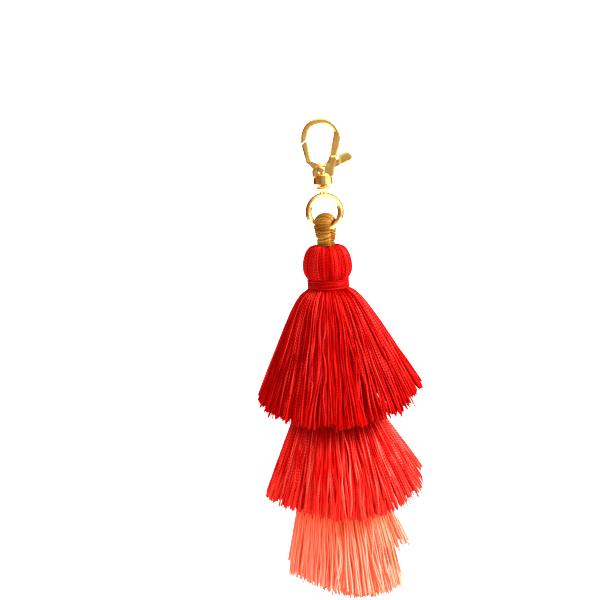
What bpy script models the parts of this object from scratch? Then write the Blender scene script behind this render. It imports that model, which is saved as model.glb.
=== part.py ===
"""A three-tier yarn tassel on a thread-wrapped loop, hung from a swivel trigger clasp.

Metres, +Z up, the front towards -Y. The origin is the top of the hook's inside, where the clasp bears on
whatever it is clipped to, and everything else hangs below it. Plane outlines are (x, z) pairs and turned
profiles are (radius, height) pairs.
"""

import math
import random
from collections import namedtuple

import bmesh
import bpy
from mathutils import Matrix, Vector

MM = 0.001
GAP = 0.3 * MM

# The hook: an arch of chamfered bar, a straight spine on its right and two cheeks round the gate's hub
ARCH_CENTRE = (0.0, -4.3 * MM)
ARCH_INNER_RADIUS = 4.3 * MM
ARCH_OUTER_RADIUS = 6.0 * MM
ARCH_STEPS = 20
BAR_DEPTH = 2.4 * MM
BAR_CHAMFER = 0.48 * MM
CHEEK_DEPTH = 4.2 * MM
CHEEK_CHAMFER = 0.5 * MM
SLOT_WIDTH = 1.9 * MM
SLOT_FLOOR = -15.85 * MM
SLOT_TOP = -10.3 * MM

# The slanted split between the nose and the gate: its outer end, its angle and its width
SPLIT = (-6.02 * MM, -6.03 * MM)
SPLIT_SLOPE = 39.0
SPLIT_WIDTH = 0.33 * MM

# The gate turns on a rivet between the cheeks
PIVOT = (-0.5 * MM, -13.9 * MM)
HUB_RADIUS = 1.6 * MM
RIVET_RADIUS = 0.55 * MM
RIVET_HEAD_RADIUS = 1.15 * MM
RIVET_HEAD_HEIGHT = 0.45 * MM
GATE_WEB_DEPTH = 1.3 * MM
GATE_ARM_DEPTH = 2.2 * MM
LEVER_TIP = (7.7 * MM, -10.3 * MM)
LEVER_TIP_RADIUS = 1.55 * MM
LEVER_SLOPE = 20.0
LEVER_SHOULDER = (5.05 * MM, -9.75 * MM)

# The barrel under the cheeks and the post that turns in it
BARREL_RADIUS = 2.9 * MM
BARREL_BOTTOM = -18.6 * MM
CHAMBER_RADIUS = 2.0 * MM
CHAMBER_FLOOR = -17.0 * MM
BORE_RADIUS = 1.35 * MM
POST_RADIUS = 1.05 * MM

# The round eye
EYE_CENTRE_Z = -26.6 * MM
EYE_RADIUS = 4.9 * MM
EYE_WIRE_RADIUS = 0.95 * MM
EYE_STEPS = 32

# The wrapped loop: a flattened cord that runs up, over the eye's lowest wire and down again
LOOP_THICKNESS = 3.3 * MM
LOOP_LEG_WIDTH = 4.5 * MM
LOOP_TOP_WIDTH = 5.4 * MM
LOOP_BEND_RADIUS = EYE_WIRE_RADIUS + 0.4 * MM + LOOP_THICKNESS / 2
LOOP_LEG_OFFSET = LOOP_THICKNESS / 2 + 0.2 * MM
LOOP_FOOT_Z = -39.6 * MM
LOOP_YAW = -20.0
POCKET_FLOOR_Z = -40.0 * MM

# The binding: turns of thread wound side by side round the neck
BINDING_TOP_Z = -46.95 * MM
BINDING_INNER_RADIUS = 5.95 * MM
BINDING_TURNS = 4
BINDING_TURN_HEIGHT = 0.72 * MM
BINDING_RIDGE = 0.42 * MM

# The yarn heads, each a turned body whose neck carries the locks. Rows are (radius, height) in millimetres
TOP_HEAD = (
    (0.0, -37.1), (2.6, -36.75), (4.3, -36.95), (5.6, -37.75), (6.5, -39.2), (7.1, -41.0),
    (7.35, -43.0), (7.2, -44.6), (6.7, -45.9), (5.9, -46.75), (5.6, -47.0), (5.6, -49.7),
    (6.8, -50.1), (8.3, -51.0), (8.7, -52.2), (8.2, -54.2), (6.2, -57.6), (3.4, -60.0), (0.0, -60.5),
)
MIDDLE_HEAD = (
    (0.0, -60.9), (2.2, -61.5), (3.6, -66.0), (5.0, -72.0), (5.6, -77.0), (5.6, -79.5),
    (6.8, -80.2), (7.0, -81.2), (5.8, -84.2), (4.1, -87.6), (2.3, -90.6), (0.0, -91.2),
)
BOTTOM_HEAD = (
    (0.0, -91.6), (2.2, -92.2), (4.2, -96.0), (5.6, -100.0), (5.6, -101.6), (5.9, -102.6),
    (5.3, -106.0), (4.2, -110.0), (2.6, -113.4), (0.0, -114.2),
)
HEAD_STEPS = 26

# A layer is a ring of locks. Angles are from straight down, in degrees: each lock leaves its root at
# `shoulder` and settles, over `settle` mm, to a flare of `flare + skew cos a - flat sin2 a` at azimuth a,
# where a = 0 is the right-hand side. Its length is `length - longer cos a + dome |sin a|^0.7 - lean sin 2a`.
# Lengths are in millimetres, and so are `root` and `drop`, the root's radius and its depth below the neck.
Layer = namedtuple(
    "Layer", "count sides root drop shoulder settle flare skew flat length longer dome lean thick"
)
DOME_POWER = 0.7
TOP_LAYERS = (
    Layer(44, 4, 7.4, 1.3, 71.5, 2.0, 26.6, 3.8, 9.0, 35.2, 0.4, 6.1, 1.0, 1.9),
    Layer(28, 3, 5.0, 7.0, 45, 8.0, 19.0, 1.5, 3.0, 36.0, 0.3, 0.5, 0.0, 2.1),
)
MIDDLE_LAYERS = (
    Layer(42, 4, 6.3, 0.6, 61.5, 3.7, 26.3, 5.0, 9.0, 34.7, 1.7, 5.6, 2.0, 1.9),
    Layer(28, 3, 4.6, 4.0, 40, 8.0, 15.5, 2.5, 2.0, 36.0, -0.5, 0.5, 0.0, 2.0),
)
BOTTOM_LAYERS = (
    Layer(34, 4, 5.2, 0.4, 80, 3.7, 12.4, 0.5, 0.8, 39.1, -3.1, 2.0, 0.0, 1.9),
    Layer(22, 3, 4.1, 4.0, 35, 5.0, 8.0, 0.0, 0.0, 37.4, -1.8, 0.6, 0.0, 2.2),
    Layer(12, 3, 2.6, 8.0, 20, 4.0, 4.4, 0.0, 0.0, 35.4, -0.8, 0.0, 0.0, 2.2),
    Layer(5, 3, 1.0, 10.4, 8, 4.0, 1.6, 0.0, 0.0, 34.0, 0.0, 0.0, 0.0, 1.6),
)
TOP_NECK_Z = -49.9 * MM
MIDDLE_NECK_Z = -80.0 * MM
BOTTOM_NECK_Z = -102.0 * MM
# One lock of the lowest skirt is bent out past its neighbours, on the right and a little to the back
STRAY_LOCK = 1
STRAY_LENGTH = 34.0
STRAY_CURL = 32.0

# How a lock is cut across: `at` is a share of its length and `swell` a share of its full thickness
Station = namedtuple("Station", "at swell")
STATIONS = (
    Station(0.0, 0.35), Station(0.07, 0.55), Station(0.2, 0.85), Station(0.6, 1.0), Station(1.0, 0.8),
)
LOCK_FILL = 0.84
PATH_STEPS = 60
FLARE_JITTER = 1.3
LENGTH_JITTER = 1.1
CUT_SLANT = 0.5
SWEEP = 0.10
WANDER = 0.035
SEED = 7

# Materials: colour, roughness and metallic value
GOLD = ("gold_metal", (0.86, 0.62, 0.25), 0.22, 1.0)
OCHRE = ("ochre_thread", (0.55, 0.30, 0.07), 0.75, 0.0)
RED = ("red_yarn", (0.75, 0.012, 0.012), 0.7, 0.0)
CORAL = ("coral_yarn", (0.86, 0.055, 0.035), 0.7, 0.0)
PEACH = ("peach_yarn", (0.92, 0.30, 0.16), 0.7, 0.0)


def clear_scene():
    for old in list(bpy.data.objects):
        bpy.data.objects.remove(old)


def new_collection(name):
    made = bpy.data.collections.new(name)
    bpy.context.scene.collection.children.link(made)
    return made


def new_material(name, colour, roughness, metallic):
    made = bpy.data.materials.new(name)
    made.use_nodes = True
    shader = made.node_tree.nodes["Principled BSDF"]
    shader.inputs["Base Color"].default_value = (*colour, 1.0)
    shader.inputs["Roughness"].default_value = roughness
    shader.inputs["Metallic"].default_value = metallic
    made.diffuse_color = (*colour, 1.0)
    return made


def in_metres(rows):
    return [tuple(value * MM for value in row) for row in rows]


def new_part(name, mesh):
    made = bpy.data.objects.new(name, mesh)
    PARTS.objects.link(made)
    return made


def as_helper(obj):
    """Moves a cutter, or a shape that is joined to a part, out of the parts and hides it from a render."""
    for collection in list(obj.users_collection):
        collection.objects.unlink(obj)
    HELPERS.objects.link(obj)
    obj.hide_render = True
    obj.display_type = "WIRE"
    return obj


def join(target, operand, operation="UNION"):
    modifier = target.modifiers.new(operation.lower() + "_" + operand.name, "BOOLEAN")
    modifier.operation = operation
    modifier.object = as_helper(operand)
    modifier.solver = "EXACT"


def chamfer(obj, width):
    modifier = obj.modifiers.new("chamfer", "BEVEL")
    modifier.width = width
    modifier.segments = 1
    modifier.limit_method = "ANGLE"
    modifier.angle_limit = math.radians(35)


def arc(centre, radius, start, end, steps):
    """Points along an arc in a plane, from one angle to another in degrees."""
    angles = [math.radians(start + (end - start) * i / steps) for i in range(steps + 1)]
    return [(centre[0] + radius * math.cos(a), centre[1] + radius * math.sin(a)) for a in angles]


def plate(name, outline, depth):
    """An (x, z) outline as a solid of that depth, centred on y = 0."""
    bm = bmesh.new()
    face = bm.faces.new([bm.verts.new((x, -depth / 2, z)) for x, z in outline])
    grown = bmesh.ops.extrude_face_region(bm, geom=[face])
    moved = [item for item in grown["geom"] if isinstance(item, bmesh.types.BMVert)]
    bmesh.ops.translate(bm, verts=moved, vec=(0, depth, 0))
    bmesh.ops.recalc_face_normals(bm, faces=bm.faces)
    mesh = bpy.data.meshes.new(name)
    bm.to_mesh(mesh)
    bm.free()
    return new_part(name, mesh)


def box(name, low, high):
    bm = bmesh.new()
    bmesh.ops.create_cube(bm, size=1.0)
    size = Vector(high) - Vector(low)
    bmesh.ops.scale(bm, vec=size, verts=bm.verts)
    bmesh.ops.translate(bm, vec=(Vector(high) + Vector(low)) / 2, verts=bm.verts)
    mesh = bpy.data.meshes.new(name)
    bm.to_mesh(mesh)
    bm.free()
    return new_part(name, mesh)


def rod(name, radius, start, end, sides=24):
    """A cylinder from one point to another."""
    along = Vector(end) - Vector(start)
    turn = along.to_track_quat("Z", "Y").to_matrix().to_4x4()
    place = Matrix.Translation((Vector(start) + Vector(end)) / 2) @ turn
    bm = bmesh.new()
    bmesh.ops.create_cone(
        bm, cap_ends=True, segments=sides, radius1=radius, radius2=radius, depth=along.length, matrix=place
    )
    mesh = bpy.data.meshes.new(name)
    bm.to_mesh(mesh)
    bm.free()
    return new_part(name, mesh)


def turned(name, profile, steps, closed=False):
    """A (radius, height) profile, top to bottom, turned about the Z axis."""
    edges = [(i, i + 1) for i in range(len(profile) - 1)]
    if closed:
        edges.append((len(profile) - 1, 0))
    mesh = bpy.data.meshes.new(name)
    mesh.from_pydata([(r, 0.0, z) for r, z in profile], edges, [])
    made = new_part(name, mesh)
    screw = made.modifiers.new("turn", "SCREW")
    screw.steps = steps
    screw.render_steps = steps
    screw.use_merge_vertices = True
    screw.merge_threshold = 0.00001
    screw.use_smooth_shade = True
    return made


def set_origin(obj, point):
    """Puts the object's origin at a point and leaves its mesh where it is."""
    obj.data.transform(Matrix.Translation(-Vector(point)))
    obj.location = point


def finish(obj, look):
    obj.data.materials.clear()
    obj.data.materials.append(look)
    return obj


def split_side(name, side):
    """What is cut away on one side of the split: above it, side 1, for the gate, or below it for the nose."""
    slope = math.radians(SPLIT_SLOPE)
    along = Vector((math.cos(slope), math.sin(slope)))
    away = Vector((-math.sin(slope), math.cos(slope))) * side
    reach = 3 * MM
    edge = Vector(SPLIT) - away * (SPLIT_WIDTH / 2)
    corners = [edge - along * reach, edge + along * reach]
    corners += [corners[1] + away * reach, corners[0] + away * reach]
    return plate(name, [tuple(corner) for corner in corners], 2 * BAR_DEPTH)


def make_hook():
    """The cast hook: arch and spine, cheeks and barrel, slotted for the gate and bored for the post."""
    outer = arc(ARCH_CENTRE, ARCH_OUTER_RADIUS, 0, 180, ARCH_STEPS)
    nose = in_metres([(-6.1, -7.0), (-4.4, -5.6)])
    inner = arc(ARCH_CENTRE, ARCH_INNER_RADIUS, 180, 20, ARCH_STEPS)
    spine = in_metres([(2.25, -10.4), (1.7, -12.6), (3.9, -12.6)])
    hook = plate("clasp_hook", outer + nose + inner[1:] + spine, BAR_DEPTH)
    chamfer(hook, BAR_CHAMFER)
    cheek_outline = in_metres([
        (4.62, -9.7), (3.6, -13.9), (3.1, -16.2), (-3.1, -16.2), (-3.2, -14.4), (-2.4, -12.8),
        (-1.0, -12.1), (0.9, -12.1), (1.75, -11.6), (2.3, -9.7),
    ])
    cheeks = plate("cheeks", cheek_outline, CHEEK_DEPTH)
    chamfer(cheeks, CHEEK_CHAMFER)
    rounding = 0.5 * MM
    barrel_profile = [
        (0.0, -14.9 * MM), (BARREL_RADIUS - rounding, -14.9 * MM), (BARREL_RADIUS, -15.5 * MM),
        (BARREL_RADIUS, BARREL_BOTTOM + rounding), (BARREL_RADIUS - rounding, BARREL_BOTTOM),
        (0.0, BARREL_BOTTOM),
    ]
    barrel = turned("barrel", barrel_profile, 28)
    reach = 8 * MM
    slot = box("gate_slot", (-reach, -SLOT_WIDTH / 2, SLOT_FLOOR), (reach, SLOT_WIDTH / 2, SLOT_TOP))
    chamber = rod("post_chamber", CHAMBER_RADIUS, (0, 0, CHAMBER_FLOOR), (0, 0, SLOT_FLOOR + 0.01 * MM))
    bore = rod("post_bore", BORE_RADIUS, (0, 0, BARREL_BOTTOM - 1 * MM), (0, 0, CHAMBER_FLOOR + 0.2 * MM))
    far = [(PIVOT[0], side * reach, PIVOT[1]) for side in (-1, 1)]
    rivet_hole = rod("rivet_hole", RIVET_RADIUS + GAP, *far, sides=16)
    join(hook, cheeks)
    join(hook, barrel)
    for cutter in (split_side("nose_end", -1), slot, chamber, bore, rivet_hole):
        join(hook, cutter, "DIFFERENCE")
    return hook


def make_gate():
    """The gate: an arm up to the nose, a hub on the rivet and a thumb lever out through the spine."""
    arm_outline = in_metres([(-4.4, -4.2), (-6.15, -5.3), (-4.6, -12.3), (-3.15, -11.5)])
    gate = plate("clasp_gate", arm_outline, GATE_ARM_DEPTH)
    chamfer(gate, 0.42 * MM)
    slope = math.radians(LEVER_SLOPE)
    tip = arc(LEVER_TIP, LEVER_TIP_RADIUS, LEVER_SLOPE + 90, LEVER_SLOPE - 90, 10)
    reach = 3.3 * MM
    foot = (tip[-1][0] - reach * math.cos(slope), tip[-1][1] - reach * math.sin(slope))
    pad = plate("lever_pad", [LEVER_SHOULDER] + tip + [foot], BAR_DEPTH)
    chamfer(pad, 0.4 * MM)
    hub = arc(PIVOT, HUB_RADIUS, 200, 320, 8)
    lever_root = in_metres([(5.6, -12.5), (5.6, -10.7), (0.7, -12.3), (-0.8, -12.3)])
    arm_root = in_metres([(-3.6, -11.0), (-4.3, -11.9)])
    web = plate("gate_web", arm_root + hub + lever_root, GATE_WEB_DEPTH)
    far = [(PIVOT[0], side * 4 * MM, PIVOT[1]) for side in (-1, 1)]
    join(gate, web)
    join(gate, pad)
    join(gate, split_side("gate_end", 1), "DIFFERENCE")
    join(gate, rod("hub_eye", RIVET_RADIUS + GAP, *far, sides=16), "DIFFERENCE")
    set_origin(gate, (PIVOT[0], 0, PIVOT[1]))
    return gate


def make_rivet():
    """The rivet: a pin with a low head outside each cheek."""
    face = CHEEK_DEPTH / 2 + GAP
    half = face + RIVET_HEAD_HEIGHT
    profile = [
        (0.0, half), (0.7 * RIVET_HEAD_RADIUS, half), (RIVET_HEAD_RADIUS, face + 0.15 * MM),
        (RIVET_HEAD_RADIUS, face), (RIVET_RADIUS, face),
    ]
    below = [(r, -z) for r, z in reversed(profile)]
    rivet = turned("gate_rivet", profile + below, 16)
    rivet.rotation_euler = (math.radians(90), 0, 0)
    rivet.location = (PIVOT[0], 0, PIVOT[1])
    return rivet


def make_eye():
    """The round eye with the collar, post and head that turn in the barrel."""
    curve = bpy.data.curves.new("eye_wire", "CURVE")
    curve.dimensions = "3D"
    spline = curve.splines.new("POLY")
    spline.points.add(EYE_STEPS - 1)
    for i, point in enumerate(spline.points):
        angle = 2 * math.pi * i / EYE_STEPS
        point.co = (EYE_RADIUS * math.cos(angle), 0, EYE_CENTRE_Z + EYE_RADIUS * math.sin(angle), 1)
    spline.use_cyclic_u = True
    curve.bevel_depth = EYE_WIRE_RADIUS
    curve.bevel_resolution = 2
    drawn = new_part("eye_wire", curve)
    bpy.context.view_layer.update()
    graph = bpy.context.evaluated_depsgraph_get()
    mesh = bpy.data.meshes.new_from_object(drawn.evaluated_get(graph))
    bpy.data.objects.remove(drawn)
    eye = new_part("swivel_ring", mesh)
    post_profile = in_metres([
        (0.0, -15.95), (1.45, -15.95), (1.65, -16.15), (1.65, -16.6), (1.05, -16.7), (1.05, -18.9),
        (1.75, -18.9), (1.95, -19.15), (1.95, -19.5), (1.6, -20.3), (0.9, -21.2), (0.0, -21.2),
    ])
    join(eye, turned("post", post_profile, 24))
    return eye


def loop_route():
    """The loop's centre line in its own plane, as (y, z): up the front leg, over and down the back leg."""
    bend_z = EYE_CENTRE_Z - EYE_RADIUS
    over = arc((0.0, bend_z), LOOP_BEND_RADIUS, 200, 90, 10)
    drop = 3.0 * MM
    knee = (-LOOP_LEG_OFFSET, over[0][1] - drop)
    slack = 0.5 * (over[0][0] + knee[0])
    leg = [(-LOOP_LEG_OFFSET, LOOP_FOOT_Z), (-LOOP_LEG_OFFSET, LOOP_FOOT_Z + 2 * MM), knee]
    leg.append((slack, over[0][1] - drop / 2))
    half = leg + over
    return half + [(-y, z) for y, z in reversed(half[:-1])]


def make_loop():
    """The wrapped loop as a flattened tube, broadest where it goes over the eye."""
    route = loop_route()
    curve = bpy.data.curves.new("loop_line", "CURVE")
    curve.dimensions = "3D"
    spline = curve.splines.new("POLY")
    spline.points.add(len(route) - 1)
    for point, (y, z) in zip(spline.points, route):
        point.co = (0, y, z, 1)
    curve.bevel_depth = LOOP_THICKNESS / 2
    curve.bevel_resolution = 4
    curve.use_fill_caps = True
    drawn = new_part("loop_line", curve)
    bpy.context.view_layer.update()
    graph = bpy.context.evaluated_depsgraph_get()
    mesh = bpy.data.meshes.new_from_object(drawn.evaluated_get(graph))
    bpy.data.objects.remove(drawn)
    bm = bmesh.new()
    bm.from_mesh(mesh)
    bmesh.ops.remove_doubles(bm, verts=bm.verts, dist=0.00001)
    bm.to_mesh(mesh)
    bm.free()
    knee_z = route[2][1]
    crown_z = max(z for _, z in route) + LOOP_THICKNESS / 2
    for vertex in mesh.vertices:
        rise = min(max((vertex.co.z - knee_z) / (crown_z - knee_z), 0.0), 1.0)
        width = LOOP_LEG_WIDTH + (LOOP_TOP_WIDTH - LOOP_LEG_WIDTH) * math.sin(0.5 * math.pi * rise)
        vertex.co.x *= width / LOOP_THICKNESS
    mesh.shade_smooth()
    loop = new_part("wrapped_loop", mesh)
    loop.rotation_euler = (0, 0, math.radians(LOOP_YAW))
    return loop


def make_binding():
    """The binding: one ring with a ridge for each turn of thread."""
    outer = BINDING_INNER_RADIUS + BINDING_RIDGE
    groove = outer - 0.4 * BINDING_RIDGE
    profile = [(BINDING_INNER_RADIUS, BINDING_TOP_Z)]
    for turn in range(BINDING_TURNS):
        top = BINDING_TOP_Z - turn * BINDING_TURN_HEIGHT
        profile.append((groove, top))
        profile.append((outer, top - 0.28 * BINDING_TURN_HEIGHT))
        profile.append((outer, top - 0.72 * BINDING_TURN_HEIGHT))
    bottom = BINDING_TOP_Z - BINDING_TURNS * BINDING_TURN_HEIGHT
    profile += [(groove, bottom), (BINDING_INNER_RADIUS, bottom)]
    return turned("neck_binding", profile, HEAD_STEPS, closed=True)


def lock_path(neck_z, layer, azimuth, draw, stray):
    """A lock's centre line in its own upright plane, as (radius, height, angle from straight down)."""
    flare = layer.flare + layer.skew * math.cos(azimuth) - layer.flat * math.sin(azimuth) ** 2
    flare += draw.uniform(-FLARE_JITTER, FLARE_JITTER)
    length = layer.length - layer.longer * math.cos(azimuth) - layer.lean * math.sin(2 * azimuth)
    length += layer.dome * abs(math.sin(azimuth)) ** DOME_POWER
    length += draw.uniform(-LENGTH_JITTER, LENGTH_JITTER)
    if stray:
        length = STRAY_LENGTH
    step = length / PATH_STEPS
    radius, height = layer.root, neck_z / MM - layer.drop
    path = []
    for i in range(PATH_STEPS + 1):
        run = i * step
        angle = flare + (layer.shoulder - flare) * math.exp(-run / layer.settle)
        if stray:
            angle += STRAY_CURL * (run / length) ** 4
        path.append((radius * MM, height * MM, math.radians(angle)))
        radius += step * math.sin(math.radians(angle))
        height -= step * math.cos(math.radians(angle))
    return path


def lock_sections(neck_z, layer, azimuth, draw, stray):
    """The cross-sections of one lock: a kite of 4 corners, or 3 for a lock that others cover."""
    path = lock_path(neck_z, layer, azimuth, draw, stray)
    slant = draw.uniform(-CUT_SLANT, CUT_SLANT) * MM
    sections = []
    for station in STATIONS:
        radius, height, angle = path[round(station.at * PATH_STEPS)]
        turn = azimuth + SWEEP * station.at + WANDER * math.sin(3 * azimuth) * station.at
        outward = Vector((math.cos(turn), math.sin(turn), 0))
        sideways = Vector((-math.sin(turn), math.cos(turn), 0))
        down = outward * math.sin(angle) - Vector((0, 0, math.cos(angle)))
        face = outward * math.cos(angle) + Vector((0, 0, math.sin(angle)))
        centre = outward * radius + Vector((0, 0, height))
        half = LOCK_FILL * math.pi * radius / layer.count
        thick = layer.thick * MM * station.swell
        shift = down * (slant * station.at)
        if layer.sides == 4:
            corners = [
                centre - sideways * half - shift,
                centre + face * 0.35 * thick,
                centre + sideways * half + shift,
                centre - face * 0.65 * thick,
            ]
        else:
            corners = [
                centre - sideways * half + face * 0.3 * thick - shift,
                centre + sideways * half + face * 0.3 * thick + shift,
                centre - face * 0.7 * thick,
            ]
        sections.append(corners)
    return sections


def make_locks(name, neck_z, layers, draw, stray_lock=None):
    """All the locks of a tier in one helper: each is lofted through its own sections and stands apart."""
    bm = bmesh.new()
    for depth, layer in enumerate(layers):
        for i in range(layer.count):
            azimuth = 2 * math.pi * (i + 0.5 * (depth % 2)) / layer.count
            stray = depth == 0 and i == stray_lock
            sections = lock_sections(neck_z, layer, azimuth, draw, stray)
            rings = [[bm.verts.new(corner) for corner in corners] for corners in sections]
            for above, below in zip(rings, rings[1:]):
                for k in range(layer.sides):
                    after = (k + 1) % layer.sides
                    bm.faces.new((above[k], above[after], below[after], below[k]))
            bm.faces.new(reversed(rings[0]))
            bm.faces.new(rings[-1])
    bmesh.ops.recalc_face_normals(bm, faces=bm.faces)
    mesh = bpy.data.meshes.new(name)
    bm.to_mesh(mesh)
    bm.free()
    return new_part(name, mesh)


def make_tier(name, head, neck_z, layers, draw, stray_lock=None):
    """A tassel: a turned yarn head with every lock's root fused into its neck."""
    tier = turned(name, in_metres(head), HEAD_STEPS)
    join(tier, make_locks(name + "_locks", neck_z, layers, draw, stray_lock))
    return tier


def cut_pocket(tier):
    """Opens the head's top for the two legs of the loop, as a slot with round ends."""
    margin = 0.4 * MM
    radius = LOOP_LEG_WIDTH / 2 + margin
    reach = LOOP_LEG_OFFSET + LOOP_THICKNESS / 2 + margin - radius
    outline = arc((0.0, reach), radius, 0, 180, 14) + arc((0.0, -reach), radius, 180, 360, 14)
    top_z = TOP_HEAD[1][1] * MM + 2 * MM
    pocket = plate("loop_pocket", outline, top_z - POCKET_FLOOR_Z)
    pocket.rotation_euler = (math.radians(90), 0, math.radians(LOOP_YAW))
    pocket.location = (0, 0, (top_z + POCKET_FLOOR_Z) / 2)
    join(tier, pocket, "DIFFERENCE")


clear_scene()
PARTS = new_collection("tassel_on_clasp")
HELPERS = new_collection("helpers")

gold, ochre, red, coral, peach = (new_material(*row) for row in (GOLD, OCHRE, RED, CORAL, PEACH))
finish(make_hook(), gold)
finish(make_gate(), gold)
finish(make_rivet(), gold)
finish(make_eye(), gold)
finish(make_loop(), ochre)
finish(make_binding(), red)

shared_draw = random.Random(SEED)
top = finish(make_tier("tier_top", TOP_HEAD, TOP_NECK_Z, TOP_LAYERS, shared_draw), red)
cut_pocket(top)
finish(make_tier("tier_middle", MIDDLE_HEAD, MIDDLE_NECK_Z, MIDDLE_LAYERS, shared_draw), coral)
finish(make_tier("tier_bottom", BOTTOM_HEAD, BOTTOM_NECK_Z, BOTTOM_LAYERS, shared_draw, STRAY_LOCK), peach)
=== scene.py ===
"""The looks of a three-tier yarn tassel on a swivel trigger clasp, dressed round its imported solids.

+Z is up and the front is towards -Y. The camera and the stage are in metres. Threads and the forms that they
take are in millimetres and turned into metres where a mesh is made. An azimuth of 0 is the right-hand side,
and angles of yarn are from straight down.
"""

import math
from collections import namedtuple

import bmesh
import bpy
import numpy as np
from mathutils import Matrix, Vector


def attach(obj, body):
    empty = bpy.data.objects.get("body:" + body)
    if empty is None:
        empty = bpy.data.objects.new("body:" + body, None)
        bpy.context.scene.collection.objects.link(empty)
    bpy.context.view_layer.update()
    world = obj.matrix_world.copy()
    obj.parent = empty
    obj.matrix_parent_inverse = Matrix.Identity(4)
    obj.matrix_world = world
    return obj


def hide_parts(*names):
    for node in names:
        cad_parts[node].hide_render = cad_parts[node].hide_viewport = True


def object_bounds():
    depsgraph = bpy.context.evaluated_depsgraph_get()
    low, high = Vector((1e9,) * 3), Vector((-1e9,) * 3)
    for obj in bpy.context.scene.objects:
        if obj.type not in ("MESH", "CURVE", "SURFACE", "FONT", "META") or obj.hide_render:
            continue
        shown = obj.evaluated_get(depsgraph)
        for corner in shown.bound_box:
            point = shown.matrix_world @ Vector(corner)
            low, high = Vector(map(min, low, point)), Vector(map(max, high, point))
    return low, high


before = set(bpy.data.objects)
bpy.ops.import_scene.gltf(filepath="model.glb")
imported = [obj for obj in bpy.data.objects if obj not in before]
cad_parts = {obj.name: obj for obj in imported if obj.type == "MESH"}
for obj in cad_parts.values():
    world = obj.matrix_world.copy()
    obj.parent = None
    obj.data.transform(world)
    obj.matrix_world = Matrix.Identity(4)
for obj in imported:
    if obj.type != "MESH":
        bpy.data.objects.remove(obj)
CAD_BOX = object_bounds()
MM = 0.001

# The camera: in front, a little above the clasp, and turned so that the tassel leans as in the photograph
VIEW_DISTANCE = 0.458
VIEW_HEIGHT = 0.012
VIEW_SIDE = -0.0089
VIEW_TILT = 8.09
VIEW_ROLL = -3.1
VIEW_LENS = 91.0
SENSOR = 36.0

# The light: a sun from the upper right, whose softness is its angle in degrees, and a room that is bright low
# down and dimmer overhead
SUN_FROM = (0.81, -0.24, 0.54)
SUN_STRENGTH = 8.0
SUN_SOFTNESS = 24.0
ROOM_LOW = 1.5
ROOM_HIGH = 1.2

# The stage: half the floor's side, how far it lies beneath the tassel, its paint, and the tent's size
FLOOR_REACH = 30.0
FLOOR_DROP = 0.25
FLOOR_DARK = (0.66, 0.66, 0.66)
FLOOR_LIGHT = (0.68, 0.68, 0.68)
TENT_RADIUS = 1.1

# How strongly yarn has a painted glow in the colour of its painted shade, which stands for the light that it
# passes on through itself
PAINTED_GLOW = 0.5

# The length of thread in which its plies turn once, and how far round each thread stands from the one before
# it, as a share of a turn: the golden ratio's, which spreads any number of threads evenly
TWIST_PITCH = 1.8
GOLDEN_PART = 0.61803398875

# Tones of threads, from 0 for dark to 1 for light: their middle, how much single threads differ from it, and
# how far painted glints make a thread of a coat lighter and darker along itself
TONE = 0.45
HEAD_TONE_SPREAD = 0.18
COAT_TONE_SPREAD = 0.14
COAT_GLINTS = 0.12
PLAIN_TONE = 0.5
PLAIN_TONE_SPREAD = 0.17

# How much painted shade a thread of a coat has, in its gaps' colour, from 0 to 1: what each layer adds, what
# lying lower adds, what a loose thread loses, and the share of the length in which the painted shade of the
# tier above ends
LAYER_SHADE = 0.20
SUNK_SHADE = 0.22
LOOSE_LESS_SHADE = 0.15
SHADE_EDGE = 0.22

# The head's surface, from beside the loop's legs down to the neck, as (radius, height), and its threads: two
# layers, of which the inner one lies HEAD_SUNK deeper and has that much more painted shade
HEAD = (
    (2.3, -37.35), (3.2, -36.95), (4.4, -36.9), (5.6, -37.65), (6.55, -39.1), (7.15, -41.0),
    (7.4, -43.0), (7.3, -44.5), (6.8, -45.8), (6.1, -46.7), (5.8, -47.3), (5.75, -49.5),
)
HEAD_AROUND = 122
HEAD_THREAD = 0.21
HEAD_SUNK = 0.24
HEAD_UNEVEN = 0.10

# The neck's binding: turns of thread, and a few that cross them on the slant. `down` is how far down the
# binding's height a crossing's middle lies, and `slant` how far its sides rise and fall
BIND_TOP = -46.75
BIND_HEIGHT = 3.2
BIND_RADIUS = 6.1
BIND_THREAD = 0.24
BIND_TURNS = 10
BIND_STEPS = 44
CROSSING_THREAD = 0.17
CROSSING_LIFT = 0.2
CROSSING_STEPS = 64
Crossing = namedtuple("Crossing", "down slant")
CROSSINGS = (Crossing(0.32, 0.42), Crossing(0.55, -0.35), Crossing(0.75, 0.3))

# The wrapped loop, as in the solids: up one leg, over the eye's lowest wire and down the other. BEND_START is
# the angle at which the bend over the wire starts, BEND_DROP how far beneath that the legs are upright, and
# WIDENS_AT how far beneath the wire the loop starts to widen
EYE_WIRE = 0.95
EYE_BOTTOM = -31.5
EYE_GAP = 0.4
BEND_START = 205
BEND_DROP = 2.6
WIDENS_AT = 3.5
LOOP_THICK = 3.3
LOOP_WIDTH = 4.5
LOOP_TOP_WIDTH = 5.4
LOOP_OFFSET = 1.85
LOOP_FOOT = -39.3
FOOT_LENGTH = 2.0
LOOP_YAW = -20.0

# The loop's winding, how far its turns wander, slant and swell, and the strands of the cord beneath it
WRAP_THREAD = 0.31
WRAP_PITCH = 0.6
WRAP_STEPS = 22
WRAP_WANDER = 0.13
WRAP_SLANT = 0.35
WRAP_SWELL = 0.07
CORD_STRANDS = 18
CORD_STRAND = 0.5
CORD_INSET = 0.75
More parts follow.
